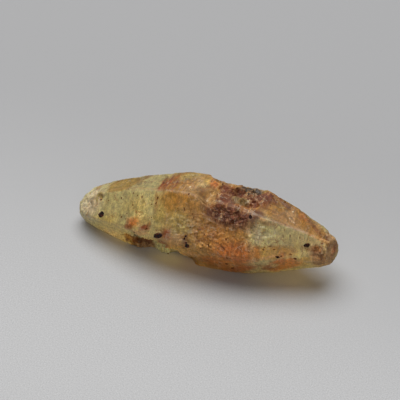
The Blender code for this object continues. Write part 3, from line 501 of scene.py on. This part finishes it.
class Graph:
    """A material's node tree, with short calls for the nodes used here."""

    def __init__(self, name):
        self.material = bpy.data.materials.new(name)
        self.material.use_nodes = True
        self.tree = self.material.node_tree
        self.shader = self.tree.nodes["Principled BSDF"]
        self.output = self.tree.nodes["Material Output"]

    def node(self, kind, inputs=None, **settings):
        made = self.tree.nodes.new(kind)
        for key, value in settings.items():
            setattr(made, key, value)
        for key, value in (inputs or {}).items():
            self.feed(made.inputs[key], value)
        return made

    def feed(self, socket, value):
        if isinstance(value, bpy.types.NodeSocket):
            self.tree.links.new(value, socket)
        else:
            socket.default_value = value

    def set(self, **inputs):
        for key, value in inputs.items():
            self.feed(self.shader.inputs[key.replace("_", " ")], value)

    def mark(self, name):
        """What the body's mesh says at each point, from 0 to 1."""
        return self.node("ShaderNodeAttribute", attribute_name=name).outputs["Fac"]

    def shaded(self, base, shade):
        """The colour made darker or lighter by a factor."""
        greys = self.node("ShaderNodeCombineColor", {0: shade, 1: shade, 2: shade}).outputs[0]
        return self.mix(1.0, base, greys, "MULTIPLY")

    def position(self):
        """The place on the crystal, in millimetres."""
        place = self.node("ShaderNodeTexCoord").outputs["Object"]
        return self.node(
            "ShaderNodeVectorMath", {0: place, "Scale": 1.0 / MM}, operation="SCALE"
        ).outputs[0]

    def stretched(self, place, scale):
        return self.node("ShaderNodeVectorMath", {0: place, 1: scale}, operation="MULTIPLY").outputs[0]

    def shifted(self, place, distance):
        shift = {0: place, 1: (distance, distance, distance)}
        return self.node("ShaderNodeVectorMath", shift, operation="ADD").outputs[0]

    def noise(self, place, scale, detail=2.0, roughness=0.5, output="Fac"):
        inputs = {"Vector": place, "Scale": scale, "Detail": detail, "Roughness": roughness}
        return self.node("ShaderNodeTexNoise", inputs).outputs[output]

    def cells(self, place, scale):
        """The distance to the middle of the nearest cell."""
        inputs = {"Vector": place, "Scale": scale}
        return self.node("ShaderNodeTexVoronoi", inputs).outputs["Distance"]

    def cracks(self, place, scale):
        """The distance to the nearest border between cells."""
        inputs = {"Vector": place, "Scale": scale}
        return self.node("ShaderNodeTexVoronoi", inputs, feature="DISTANCE_TO_EDGE").outputs["Distance"]

    def ramp(self, value, low, high, out_low=0.0, out_high=1.0):
        """A soft step between two values."""
        inputs = {"Value": value, 1: low, 2: high, 3: out_low, 4: out_high}
        return self.node("ShaderNodeMapRange", inputs, interpolation_type="SMOOTHSTEP").outputs[0]

    def maths(self, operation, first, second):
        return self.node("ShaderNodeMath", {0: first, 1: second}, operation=operation).outputs[0]

    def mix(self, factor, first, second, blend="MIX"):
        made = self.node("ShaderNodeMix", data_type="RGBA", blend_type=blend)
        self.feed(made.inputs["Factor"], factor)
        self.feed(made.inputs[6], first)
        self.feed(made.inputs[7], second)
        return made.outputs[2]

    def patch(self, place, middle, half_sizes, turns=(90.0, 0.0), strength=1.0, soft=0.4):
        """The strength inside an ellipsoid that lies on a face, 0 outside, and a soft edge."""
        face = Matrix.Rotation(math.radians(90.0 - turns[0]), 3, "X")
        slant = Matrix.Rotation(math.radians(turns[1]), 3, "Z")
        ball = self.node("ShaderNodeTexGradient", {"Vector": place}, gradient_type="SPHERICAL")
        fit = ball.texture_mapping
        fit.vector_type = "TEXTURE"
        fit.translation = middle
        fit.rotation = (face @ slant).to_euler()
        fit.scale = [half_size * (1.0 + soft) for half_size in half_sizes]
        full = 2.0 * soft / (1.0 + soft)
        return self.ramp(ball.outputs["Fac"], 0.0, full, 0.0, strength)


def rgba(values):
    return (*values, 1.0)


# ---------------------------------------------------------------- materials


def warped_place(graph, place, scale, amount):
    """The place pushed about by noise, so that what is drawn there has ragged edges."""
    push = graph.noise(place, scale, 3.0, 0.6, output="Color")
    centred = graph.node("ShaderNodeVectorMath", {0: push, 1: (0.5, 0.5, 0.5)}, operation="SUBTRACT")
    scaled = graph.node(
        "ShaderNodeVectorMath", {0: centred.outputs[0], "Scale": amount}, operation="SCALE"
    )
    return graph.node(
        "ShaderNodeVectorMath", {0: place, 1: scaled.outputs[0]}, operation="ADD"
    ).outputs[0]


CLEAREST = 0.64  # how much light the clear ends let through
STAIN_LOSS = 0.28  # how much less a full stain would let through
STAIN_STRENGTH = 0.2  # the stain of the whole middle, where 1 is a full one
CLOUDED = 0.34  # what lets through less than this casts a full shadow
SHADOW_SHARE = 0.34  # how much light the clearest places pass on to the floor
TINT_DENSITY = 150.0  # how fast the body tints light, per metre

# The stained middle, the smooth ledge and the clear break underneath that light
# falls through: middle and half sizes, in millimetres.
STAINED = ((1.4, 0.0, 4.0), (5.9, 7.0, 7.0))
LEDGE = ((0.3, -0.2, 7.5), (1.4, 1.6, 1.2))
WINDOW = ((-3.1, -1.95, 2.1), (1.7, 0.8, 1.1))

# Short cracks: cells per millimetre, shift, half width, strength, colour.
CRACKS = (
    (0.75, 3.0, 0.020, 0.75, "brown"),
    (1.30, 11.0, 0.026, 0.50, "frost"),
)


def side_of(patch):
    """The side of the ridge that a patch keeps to: past 130 degrees it keeps to none."""
    angle = patch[3][0]
    if angle > 130:
        return "all"
    return "upper" if angle > 58 else "front"


def zone_colours(graph, ragged):
    """The crystal's colour zones and stains, laid over each other."""
    tones = colours()
    base = rgba(tones.green)
    upper = graph.mark("upper")
    sides = {"upper": upper, "front": graph.maths("SUBTRACT", 1.0, upper), "all": 1.0}
    for (tone, side), patches in groupby(PATCHES, key=lambda patch: (patch[4], side_of(patch))):
        covers = 0.0
        for _, middle, half_sizes, turns, _, strength, soft in patches:
            cover = graph.patch(ragged, middle, half_sizes, turns, strength, soft)
            covers = graph.maths("MAXIMUM", covers, cover)
        covers = graph.maths("MULTIPLY", covers, sides[side])
        base = graph.mix(covers, base, rgba(getattr(tones, tone)))
    return base


def with_fibres(graph, base, wavy, stained):
    """Fibres across the crystal, strongest in the stained middle."""
    tones = colours()
    fibres = graph.noise(graph.stretched(wavy, (4.2, 0.8, 0.8)), 1.0, 5.0, 0.7)
    dark = graph.ramp(fibres, 0.51, 0.66)
    streaks = graph.maths("MULTIPLY", dark, graph.ramp(stained, 0.0, 1.0, 0.25, 0.65))
    base = graph.mix(streaks, base, rgba(tones.brown))
    return graph.mix(graph.ramp(fibres, 0.47, 0.34, 0.0, 0.40), base, rgba(tones.pale_tan))


def with_mottling(graph, base, place, stained):
    """Light and dark mottling: coarse, fine, chip by chip, and in fine cross lines."""
    coarse = graph.ramp(graph.noise(place, 2.2, 4.0, 0.7), 0.36, 0.64, 0.70, 1.26)
    fine = graph.ramp(graph.noise(place, 7.5, 3.0, 0.7), 0.38, 0.62, -0.30, 0.28)
    fine = graph.maths("MULTIPLY", fine, graph.ramp(stained, 0.0, 1.0, 0.55, 1.0))
    fine = graph.maths("ADD", fine, 1.0)
    chip_shade = graph.ramp(graph.mark("chip"), 0.0, 1.0, 0.72, 1.28)
    lines = graph.noise(graph.stretched(place, (7.0, 0.8, 0.8)), 1.0, 3.0, 0.6)
    line_shade = graph.ramp(lines, 0.36, 0.64, 0.86, 1.14)
    shade = graph.maths("MULTIPLY", graph.maths("MULTIPLY", coarse, fine), chip_shade)
    return graph.shaded(base, graph.maths("MULTIPLY", shade, line_shade))


def with_cracks(graph, base, place):
    """Short dark cracks, and pale ones at another size."""
    for scale, shift, half_width, strength, tone in CRACKS:
        cracks = graph.cracks(warped_place(graph, place, 1.6, 0.7), scale)
        kept = graph.ramp(graph.noise(graph.shifted(place, shift), 0.9, 3.0, 0.6), 0.52, 0.60)
        line = graph.ramp(cracks, half_width * 1.8, half_width * 0.6, 0.0, strength)
        line = graph.maths("MULTIPLY", line, kept)
        base = graph.mix(line, base, rgba(getattr(colours(), tone)))
    return base


def with_specks_wear_and_painted_light(graph, base, place, broken):
    """Specks in drifts, pale flecks of painted sparkle in the breaks, painted shade in the crevices, and
    worn edges.
    """
    tones = colours()
    specks = graph.ramp(graph.cells(warped_place(graph, place, 2.5, 0.3), 2.2), 0.20, 0.08)
    drifts = graph.ramp(graph.noise(place, 0.45, 2.0), 0.44, 0.58, 0.1, 0.8)
    base = graph.mix(graph.maths("MULTIPLY", specks, drifts), base, rgba(tones.brown))
    # Painted sparkle: pale pink flecks in the breaks stand in for small highlights.
    crumbs = graph.noise(graph.shifted(place, 5.0), 5.0, 3.0, 0.7)
    crumbs = graph.ramp(crumbs, 0.57, 0.64, 0.0, 0.65)
    base = graph.mix(graph.maths("MULTIPLY", crumbs, broken), base, rgba(tones.painted_sparkle))
    # Painted shade: maroon in the crevices and in the seams between chips.
    painted_shade = graph.maths("MULTIPLY", graph.mark("crevice_shade"), 0.75)
    base = graph.mix(painted_shade, base, rgba(tones.maroon))
    patchy = graph.ramp(graph.noise(place, 1.6, 3.0), 0.36, 0.56, 0.60, 1.0)
    worn = graph.maths("MULTIPLY", graph.mark("worn"), patchy)
    return graph.mix(worn, base, rgba(tones.pale_tan))


def clearness(graph, ragged, stained):
    """How much light each place lets through."""
    cloudy = graph.maths("MULTIPLY", stained, STAIN_LOSS)
    for middle, half_sizes, share in CLOUDS:
        cloud = graph.patch(ragged, middle, half_sizes, strength=CLEAREST - share, soft=0.5)
        cloudy = graph.maths("MAXIMUM", cloudy, cloud)
    return graph.maths("SUBTRACT", CLEAREST, cloudy)


def roughness(graph, place, broken):
    """Duller in the breaks and on the ledge."""
    rough = graph.ramp(graph.noise(place, 1.6, 4.0, 0.6), 0.34, 0.66, 0.34, 0.56)
    dull = graph.maths("MAXIMUM", broken, graph.patch(place, *LEDGE))
    return graph.maths("ADD", rough, graph.maths("MULTIPLY", dull, 0.28))


def fine_bump(graph, place, broken):
    """Tight cross lines everywhere, and grit in the breaks."""
    tight = graph.noise(graph.stretched(place, (5.0, 1.6, 1.6)), 1.8, 5.0, 0.7)
    grit = graph.noise(place, 6.0, 4.0, 0.75)
    grit = graph.maths("MULTIPLY", grit, graph.maths("MULTIPLY", broken, 2.2))
    inputs = {"Strength": 0.5, "Distance": 0.05 * MM, "Height": graph.maths("ADD", tight, grit)}
    return graph.node("ShaderNodeBump", inputs).outputs[0]


def let_light_through(graph, place, clear):
    """Lets some light through to what lies in the crystal's shadow."""
    tones = colours()
    shadow_ray = graph.node("ShaderNodeLightPath").outputs["Is Shadow Ray"]
    window = graph.patch(place, *WINDOW, strength=1.0, soft=0.5)
    passed = graph.ramp(clear, CLOUDED, CLEAREST, 0.0, SHADOW_SHARE)
    passed = graph.maths("MAXIMUM", passed, window)
    passed = graph.maths("MULTIPLY", passed, shadow_ray)
    tint = graph.mix(window, rgba(tones.shadow_tint), rgba(tones.window_tint))
    tinted = graph.node("ShaderNodeBsdfTransparent", {"Color": tint}).outputs[0]
    inputs = {0: passed, 1: graph.shader.outputs[0], 2: tinted}
    skin = graph.node("ShaderNodeMixShader", inputs)
    graph.feed(graph.output.inputs["Surface"], skin.outputs[0])


def crystal_material():
    graph = Graph("sapphire")
    place = graph.position()
    wavy = warped_place(graph, place, 0.8, 0.5)
    ragged = warped_place(graph, warped_place(graph, wavy, 3.0, 0.50), 9.0, 0.24)
    stained = graph.patch(ragged, *STAINED, strength=STAIN_STRENGTH)
    broken = graph.mark("broken")
    base = zone_colours(graph, ragged)
    base = with_fibres(graph, base, wavy, stained)
    base = with_mottling(graph, base, place, stained)
    base = with_cracks(graph, base, place)
    base = with_specks_wear_and_painted_light(graph, base, place, broken)
    clear = clearness(graph, ragged, stained)
    graph.set(Base_Color=base, Roughness=roughness(graph, place, broken))
    graph.set(Transmission_Weight=clear, Normal=fine_bump(graph, place, broken), IOR=1.77)
    graph.set(Subsurface_Weight=0.35, Subsurface_Scale=0.6 * MM, Specular_IOR_Level=0.16)
    graph.set(Subsurface_Radius=(1.0, 0.75, 0.4))
    tint = {"Color": rgba(colours().body_tint), "Density": TINT_DENSITY}
    volume = graph.node("ShaderNodeVolumeAbsorption", tint)
    graph.feed(graph.output.inputs["Volume"], volume.outputs[0])
    let_light_through(graph, place, clear)
    return graph.material


def grain_material(name, tone, second_tone):
    graph = Graph(name)
    place = graph.position()
    patchy = graph.ramp(graph.noise(place, 5.0, 3.0), 0.45, 0.75)
    base = graph.mix(patchy, rgba(tone), rgba(second_tone))
    rough = graph.ramp(graph.noise(place, 7.0, 2.0), 0.3, 0.7, 0.35, 0.75)
    bump = graph.node(
        "ShaderNodeBump",
        {"Strength": 0.6, "Distance": 0.03 * MM, "Height": graph.noise(place, 9.0, 4.0)},
    )
    graph.set(Base_Color=base, Roughness=rough, Normal=bump.outputs[0], Specular_IOR_Level=0.2)
    return graph.material


def flake_material(name, tone, deep_tone):
    graph = Graph(name)
    place = graph.position()
    patchy = graph.ramp(graph.noise(place, 2.6, 4.0, 0.7), 0.40, 0.70)
    base = graph.mix(patchy, rgba(tone), rgba(deep_tone))
    rough = graph.ramp(graph.noise(place, 3.0, 2.0), 0.3, 0.7, 0.25, 0.6)
    graph.set(Base_Color=base, Roughness=rough)
    return graph.material


def floor_material():
    graph = Graph("grey_sheet")
    place = graph.position()
    grain = graph.noise(place, 8.0, 2.0, 0.7)
    axes = graph.node("ShaderNodeSeparateXYZ", {0: place})
    # Painted light falloff: the sheet's tone darkens from the front towards the back.
    front = graph.ramp(axes.outputs[1], 22.0, -22.0)
    tone = graph.mix(front, rgba(colours().floor_painted_falloff), rgba(colours().floor))
    contrast = graph.ramp(axes.outputs[1], 4.0, -14.0, 0.10, 0.85)
    shade = graph.maths("MULTIPLY", graph.maths("SUBTRACT", grain, 0.5), contrast)
    shade = graph.maths("ADD", shade, 1.0)
    base = graph.shaded(tone, shade)
    bump = graph.node("ShaderNodeBump", {"Strength": 0.25, "Distance": 0.04 * MM, "Height": grain})
    graph.set(Base_Color=base, Roughness=0.9, Normal=bump.outputs[0], Specular_IOR_Level=0.2)
    return graph.material


# ---------------------------------------------------------------- mesh helpers


def add_object(name, mesh):
    made = bpy.data.objects.new(name, mesh)
    bpy.context.scene.collection.objects.link(made)
    return made


def finish_piece(name, mesh, material):
    """Turns a mesh in metres into a piece that rides on the part."""
    mesh.materials.append(material)
    piece = add_object(name, mesh)
    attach(piece, "root")
    return piece


def piece_from(name, shape, material):
    """Turns what bmesh has built into a piece, and frees it."""
    mesh = bpy.data.meshes.new(name)
    shape.to_mesh(mesh)
    shape.free()
    return finish_piece(name, mesh, material)


def remeshed_body():
    """The frame's crystal in millimetres, as an even mesh."""
    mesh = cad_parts["crystal"].data.copy()
    mesh.materials.clear()
    mesh.transform(Matrix.Scale(1.0 / MM, 4))
    rough = add_object("body_source", mesh)
    remesh = rough.modifiers.new("grid", "REMESH")
    remesh.mode = "VOXEL"
    remesh.voxel_size = sizes().grid / MM
    bpy.context.view_layer.update()
    evaluated = rough.evaluated_get(bpy.context.evaluated_depsgraph_get())
    even = bpy.data.meshes.new_from_object(evaluated)
    even.name = "crystal_body"
    bpy.data.objects.remove(rough)
    return even


def ellipsoid_share(point, middle, half_sizes):
    """1 in the middle of an ellipsoid, falling to 0 at its surface."""
    reach = Vector([(a - b) / c for a, b, c in zip(point, middle, half_sizes)]).length
    share = max(0.0, min(1.0, 1.6 * (1.0 - reach)))
    return share * share * (3.0 - 2.0 * share)


def break_at(point):
    """How deep the crumbs, and how steep the chips, are at a point."""
    crumbs = 0.0
    tilt = 0.0
    for _, middle, half_sizes, depth, steepness, _ in BREAKS:
        share = ellipsoid_share(point, middle, half_sizes)
        crumbs = max(crumbs, depth * share)
        tilt = max(tilt, steepness * share)
    for middle, half_sizes in CALM:
        left = 1.0 - CALM_SHARE * min(1.0, 2.0 * ellipsoid_share(point, middle, half_sizes))
        crumbs *= left
        tilt *= left
    return crumbs, tilt


def chip_at(point, scale):
    """The height of one small tilted facet, in millimetres, its tone, and the painted shade in the seam
    round it.
    """
    reaches, homes = noise.voronoi(point * scale)
    home = homes[0]
    facing = Vector([noise.noise(home * 3.7 + shift) for shift in CHIP_SHIFTS])
    shade = noise.noise(home * 2.9)
    painted_shade = max(0.0, 1.0 - (reaches[1] - reaches[0]) / CHIP_SEAM)
    painted_shade *= max(0.0, min(1.0, 3.0 * noise.noise(point * 0.9)))
    return (facing.dot(point * scale - home) + 0.25 * shade) / scale, shade, painted_shade


def relief_at(point, plan):
    """The height in millimetres, the chips' tone, the painted shade in the seams between them, how broken it
    is.
    """
    crumbs, tilt = break_at(point)
    height = plan.terrace_height / MM * noise.noise(point * TERRACE_SCALE)
    wander = STRIATION_WANDER * noise.noise(point * 0.7)
    phase = (point.x + wander) * MM / plan.striation_spacing
    strength = max(0.0, 0.35 + noise.noise(point * 0.35 + Vector((9.0, 0.0, 0.0))))
    height += plan.striation_height / MM * strength * math.sin(math.tau * phase)
    height += SKIN_HEIGHT * noise.noise(point * SKIN_SCALE)
    shade = 0.0
    painted_shade = 0.0
    if tilt > 0.0:
        strength = min(1.0, 3.0 * tilt)
        for scale, share in CHIP_SCALES:
            chip, chip_shade, seam = chip_at(point, scale)
            height += 2.0 * tilt * share * chip
            shade += strength * chip_shade
            painted_shade = max(painted_shade, strength * seam)
    if crumbs > 0.0:
        coarse, medium, fine = [noise.noise(point * scale) for scale in CRUMB_SCALES]
        height -= crumbs * 2.0 * (abs(coarse) + 0.5 * abs(medium) + 0.25 * fine)
    return height, shade, painted_shade, min(1.0, 2.0 * tilt)


def tree_of(spots):
    tree = KDTree(len(spots))
    for i, spot in enumerate(spots):
        tree.insert(spot, i)
    tree.balance()
    return tree


def spots_between(start, end, spacing=0.04):
    steps = max(1, int((end - start).length / spacing))
    return [start.lerp(end, i / steps) for i in range(steps + 1)]


def edge_spots(mesh, hollow):
    """Points along the solid's outward, or its hollow, sharp edges."""
    shape = bmesh.new()
    shape.from_mesh(mesh)
    bmesh.ops.remove_doubles(shape, verts=shape.verts[:], dist=0.001)
    spots = []
    for edge in shape.edges:
        if len(edge.link_faces) != 2:
            continue
        bend = edge.calc_face_angle_signed()
        if (-bend if hollow else bend) > EDGE_ANGLE:
            spots += spots_between(edge.verts[0].co, edge.verts[1].co)
    shape.free()
    return spots


def nearness(tree, point, near, far):
    """1 within the near distance of a tree's points, and 0 past the far one."""
    return max(0.0, min(1.0, (far - tree.find(point)[2]) / (far - near)))


# What the body's mesh tells its material at each point.
SURFACE_MARKS = ("worn", "crevice_shade", "chip", "broken", "upper")


def mark_edges(mesh, solid):
    """Says how worn each point of the mesh is, and how deep in a crevice, for the painted shade there."""
    ridge = []
    wear = []
    for start, end in zip(RIDGE, RIDGE[1:]):
        spots = spots_between(Vector(start[:3]), Vector(end[:3]))
        ridge += spots
        wear += [start[3]] * len(spots)
    ridge = tree_of(ridge)
    edges = tree_of(edge_spots(solid, False))
    crevices = tree_of(edge_spots(solid, True))
    worn = mesh.attributes["worn"].data
    crevice_shade = mesh.attributes["crevice_shade"].data
    for i, vert in enumerate(mesh.vertices):
        edge = EDGE_WEAR * nearness(edges, vert.co, 0.04, 0.12)
        along = wear[ridge.find(vert.co)[1]] * nearness(ridge, vert.co, 0.07, 0.19)
        worn[i].value = max(edge, along)
        # Painted shade in the solid's hollow edges, where the break is steep.
        if break_at(vert.co)[1] > BROKEN_TILT:
            crevice_shade[i].value = nearness(crevices, vert.co, 0.05, 0.30)


def round_off(mesh):
    """Rounds the solid's hard edges where the surface is broken."""
    shape = bmesh.new()
    shape.from_mesh(mesh)
    for _, middle, half_sizes, _, _, steps in BREAKS:
        chosen = [
            vert
            for vert in shape.verts
            if ellipsoid_share(vert.co, middle, half_sizes) > ROUNDED_SHARE
            and vert.co.z > REST_BAND
        ]
        for _ in range(steps):
            bmesh.ops.smooth_vert(
                shape, verts=chosen, factor=0.5, use_axis_x=True, use_axis_y=True, use_axis_z=True
            )
    shape.to_mesh(mesh)
    shape.free()


def add_relief(mesh):
    plan = sizes()
    chips = mesh.attributes["chip"].data
    crevices = mesh.attributes["crevice_shade"].data
    broken = mesh.attributes["broken"].data
    upper = mesh.attributes["upper"].data
    normals = [vert.normal.copy() for vert in mesh.vertices]
    for i, (vert, normal) in enumerate(zip(mesh.vertices, normals)):
        point = vert.co.copy()
        height, shade, painted_shade, share = relief_at(point, plan)
        fade = max(0.0, min(1.0, point.z / REST_BAND))
        vert.co = point + normal * (height * fade)
        vert.co.z = max(0.0, vert.co.z)
        chips[i].value = 0.5 + 0.5 * shade
        broken[i].value = share
        upper[i].value = max(0.0, min(1.0, (normal.y + 0.50) / 0.14))
        # Painted shade in the seams between chips.
        crevices[i].value = max(crevices[i].value, painted_shade)


# ---------------------------------------------------------------- operators


class SAPPHIRE_OT_body(bpy.types.Operator):
    """Build the clear crystal in place of its plain solid"""

    bl_idname = "sapphire.body"
    bl_label = "Crystal Body"

    def execute(self, context):
        mesh = remeshed_body()
        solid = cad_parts["crystal"].data.copy()
        solid.transform(Matrix.Scale(1.0 / MM, 4))
        for name in SURFACE_MARKS:
            mesh.attributes.new(name, "FLOAT", "POINT")
        mark_edges(mesh, solid)
        round_off(mesh)
        add_relief(mesh)
        mesh.transform(Matrix.Scale(MM, 4))
        mesh.shade_smooth()
        body = finish_piece("crystal_body", mesh, crystal_material())
        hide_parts("crystal")
        return {"FINISHED"}


def body_tree():
    """A search tree of the finished body's surface, in metres."""
    body = bpy.data.objects["crystal_body"]
    verts = [vert.co.copy() for vert in body.data.vertices]
    return BVHTree.FromPolygons(verts, [tuple(face.vertices) for face in body.data.polygons])


def surface_frame(tree, place, turn):
    """A frame on the surface nearest to a place: X along the crystal, Z out of the surface."""
    point, normal, _, _ = tree.find_nearest(Vector(place) * MM)
    along = Vector((1.0, 0.0, 0.0))
    along = (along - normal * along.dot(normal)).normalized()
    made = Matrix((along, normal.cross(along), normal)).transposed().to_4x4()
    made.translation = point
    return made @ Matrix.Rotation(math.radians(turn), 4, "Z")


def add_grain(shape, at, half_sizes, chance):
    """An angular grain, sunk to most of its depth in the surface."""
    made = bmesh.ops.create_icosphere(shape, subdivisions=1, radius=1.0)["verts"]
    for vert in made:
        vert.co *= chance.uniform(0.72, 1.22)
        vert.co = Vector([part * half * MM for part, half in zip(vert.co, half_sizes)])
        vert.co.z = min(vert.co.z, GRAIN_RISE * half_sizes[2] * MM)
        vert.co = at @ vert.co


def add_marks(name, marks, depth, material, chance, scattered=0):
    """Sets a group of grains into the skin, as one piece."""
    tree = body_tree()
    shape = bmesh.new()
    for place, (along, across), turn in marks:
        deep = depth * min(along, across)
        add_grain(shape, surface_frame(tree, place, turn), (along, across, deep), chance)
    for _ in range(scattered):
        angle = chance.uniform(0.0, math.tau)
        along = chance.triangular(*SPECK_SPREAD)
        out = SCATTER_REACH * math.cos(angle)
        place = (along, -out, AXIS_HEIGHT + SCATTER_REACH * math.sin(angle))
        size = chance.uniform(0.03, 0.09)
        half_sizes = (size * chance.uniform(0.7, 1.6), size, size)
        add_grain(shape, surface_frame(tree, place, chance.uniform(0.0, 180.0)), half_sizes, chance)
    piece_from(name, shape, material)


class SAPPHIRE_OT_grains(bpy.types.Operator):
    """Set dark mineral grains, specks, and pale grains as painted glints, into the skin"""

    bl_idname = "sapphire.grains"
    bl_label = "Grains and Specks"

    def execute(self, context):
        tones = colours()
        chance = random.Random(SEED)
        dark = grain_material("dark_grain", tones.grain, tones.maroon)
        brown = grain_material("brown_speck", tones.speck, tones.black_brown)
        # Painted glints: pale grains that stand in for highlights.
        pale = grain_material("painted_glint", tones.frost, tones.pale_tan)
        add_marks("dark_grains", GRAINS, 0.8, dark, chance)
        add_marks("brown_specks", SPECKS, 0.6, brown, chance, SPECK_COUNT)
        add_marks("painted_glints", PAINTED_GLINTS, 0.5, pale, chance)
        return {"FINISHED"}


def is_buried(tree, spot):
    """Whether a spot lies well inside the body; both are in metres."""
    point, normal, _, _ = tree.find_nearest(spot)
    return (spot - point).dot(normal) < -FLAKE_COVER * MM


def add_flake(shape, tree, middle, facing, radius, chance):
    """A thin closed flake with a ragged rim, made smaller or left out near the skin."""
    turn = facing.to_track_quat("Z", "Y").to_matrix().to_4x4()
    turn.translation = middle
    rim = []
    for i in range(FLAKE_CORNERS):
        angle = math.tau * i / FLAKE_CORNERS
        reach = radius * chance.uniform(0.55, 1.0)
        rim.append(Vector((reach * math.cos(angle), 0.7 * reach * math.sin(angle), 0.0)))
    for scale in FLAKE_SCALES:
        spots = [(turn @ (spot * scale)) * MM for spot in rim]
        if all(is_buried(tree, spot) for spot in spots):
            break
    else:
        return
    verts = [shape.verts.new(spot) for spot in spots]
    top = shape.verts.new((turn @ Vector((0.0, 0.0, FLAKE_THICKNESS))) * MM)
    bottom = shape.verts.new((turn @ Vector((0.0, 0.0, -FLAKE_THICKNESS))) * MM)
    for i in range(FLAKE_CORNERS):
        j = (i + 1) % FLAKE_CORNERS
        shape.faces.new((verts[i], verts[j], top))
        shape.faces.new((verts[j], verts[i], bottom))


class SAPPHIRE_OT_flakes(bpy.types.Operator):
    """Scatter iron-stained and pale flakes inside the crystal"""

    bl_idname = "sapphire.flakes"
    bl_label = "Inner Flakes"

    def execute(self, context):
        chance = random.Random(SEED + 1)
        tree = body_tree()
        tones = colours()
        kinds = {
            "rust": (tones.rust, tones.maroon),
            "orange": (tones.orange, tones.rust),
            "frost": (tones.frost, tones.gold),
        }
        for kind, (tone, deep) in kinds.items():
            shape = bmesh.new()
            for middle, spread, count, span, group in FLAKES:
                if group != kind:
                    continue
                for _ in range(count):
                    spot = Vector([m + chance.uniform(-s, s) for m, s in zip(middle, spread)])
                    facing = Vector(
                        (chance.uniform(0.6, 1.4), chance.uniform(-1.0, 1.0), chance.uniform(-1.0, 1.0))
                    )
                    add_flake(shape, tree, spot, facing.normalized(), chance.uniform(*span), chance)
            name = f"{kind}_flakes"
            piece_from(name, shape, flake_material(name, tone, deep))
        return {"FINISHED"}


# ---------------------------------------------------------------- stage, lights, camera

CAMERA_TURN = math.radians(20.21)
CAMERA_RISE = math.radians(40.0)
CAMERA_SENSOR = 36.0
VIEW_SHIFT = (-0.558, 4.974)  # the view's middle lies this far right of and above the origin

# Lights: the way to each from the crystal, distance, size, power, colour.
# The lights and the floor are in metres, watts and linear colour.
LIGHTS = (
    ("key", (-0.50, 0.74, 3.70), 0.50, 0.55, 2.95, (1.0, 1.0, 1.0)),
    ("front", (0.35, -1.00, 0.80), 0.60, 0.40, 0.45, (1.0, 1.0, 1.0)),
)
WORLD_STRENGTH = 0.09
FLOOR_HALF = 0.6


def add_light(name, way, distance, size, power, tone):
    lamp = bpy.data.lights.new(name, "AREA")
    lamp.shape = "DISK"
    lamp.size = size
    lamp.energy = power
    lamp.color = tone
    made = add_object(name, lamp)
    made.location = Vector(way).normalized() * distance
    made.rotation_euler = Vector(way).to_track_quat("Z", "Y").to_euler()


def add_camera():
    plan = sizes()
    back = Vector(
        (
            math.sin(CAMERA_TURN) * math.cos(CAMERA_RISE),
            -math.cos(CAMERA_TURN) * math.cos(CAMERA_RISE),
            math.sin(CAMERA_RISE),
        )
    )
    right = Vector((math.cos(CAMERA_TURN), math.sin(CAMERA_TURN), 0.0))
    up = back.cross(right)
    lens = bpy.data.cameras.new("camera")
    lens.sensor_width = CAMERA_SENSOR
    lens.lens = CAMERA_SENSOR * plan.camera_distance / plan.view_width
    lens.clip_start = 0.01
    lens.clip_end = 10.0
    made = add_object("camera", lens)
    aim = (right * VIEW_SHIFT[0] + up * VIEW_SHIFT[1]) * MM
    made.matrix_world = Matrix((right, up, back)).transposed().to_4x4()
    made.location = aim + back * plan.camera_distance
    bpy.context.scene.camera = made


class SAPPHIRE_OT_stage(bpy.types.Operator):
    """Add the floor, the lights and the camera"""

    bl_idname = "sapphire.stage"
    bl_label = "Stage"

    def execute(self, context):
        sides = ((-1, -1), (1, -1), (1, 1), (-1, 1))
        corners = [(FLOOR_HALF * x, FLOOR_HALF * y, 0.0) for x, y in sides]
        mesh = bpy.data.meshes.new("floor")
        mesh.from_pydata(corners, [], [(0, 1, 2, 3)])
        mesh.materials.append(floor_material())
        add_object("floor", mesh)
        for light in LIGHTS:
            add_light(*light)
        world = bpy.data.worlds.new("studio")
        world.use_nodes = True
        background = world.node_tree.nodes["Background"]
        background.inputs["Color"].default_value = (1.0, 1.0, 1.0, 1.0)
        background.inputs["Strength"].default_value = WORLD_STRENGTH
        context.scene.world = world
        context.scene.view_settings.view_transform = "Standard"
        add_camera()
        return {"FINISHED"}


class SAPPHIRE_PT_sidebar(bpy.types.Panel):
    """The crystal's builders and settings"""

    bl_idname = "SAPPHIRE_PT_sidebar"
    bl_label = "Sapphire Crystal"
    bl_space_type = "VIEW_3D"
    bl_region_type = "UI"
    bl_category = "Crystal"

    def draw(self, context):
        layout = self.layout
        for operator in OPERATORS:
            layout.operator(operator.bl_idname)
        for group in (context.scene.sapphire_sizes, context.scene.sapphire_colours):
            column = layout.column()
            for key in group.bl_rna.properties.keys():
                if key not in ("rna_type", "name"):
                    column.prop(group, key)


OPERATORS = (SAPPHIRE_OT_stage, SAPPHIRE_OT_body, SAPPHIRE_OT_grains, SAPPHIRE_OT_flakes)
CLASSES = (SapphireSizes, SapphireColours, *OPERATORS, SAPPHIRE_PT_sidebar)


def register():
    for made in CLASSES:
        bpy.utils.register_class(made)
    bpy.types.Scene.sapphire_sizes = PointerProperty(type=SapphireSizes)
    bpy.types.Scene.sapphire_colours = PointerProperty(type=SapphireColours)


def unregister():
    del bpy.types.Scene.sapphire_colours
    del bpy.types.Scene.sapphire_sizes
    for made in reversed(CLASSES):
        bpy.utils.unregister_class(made)


def main():
    register()
    bpy.ops.sapphire.stage()
    bpy.ops.sapphire.body()
    bpy.ops.sapphire.grains()
    bpy.ops.sapphire.flakes()


if __name__ == "__main__":
    main()
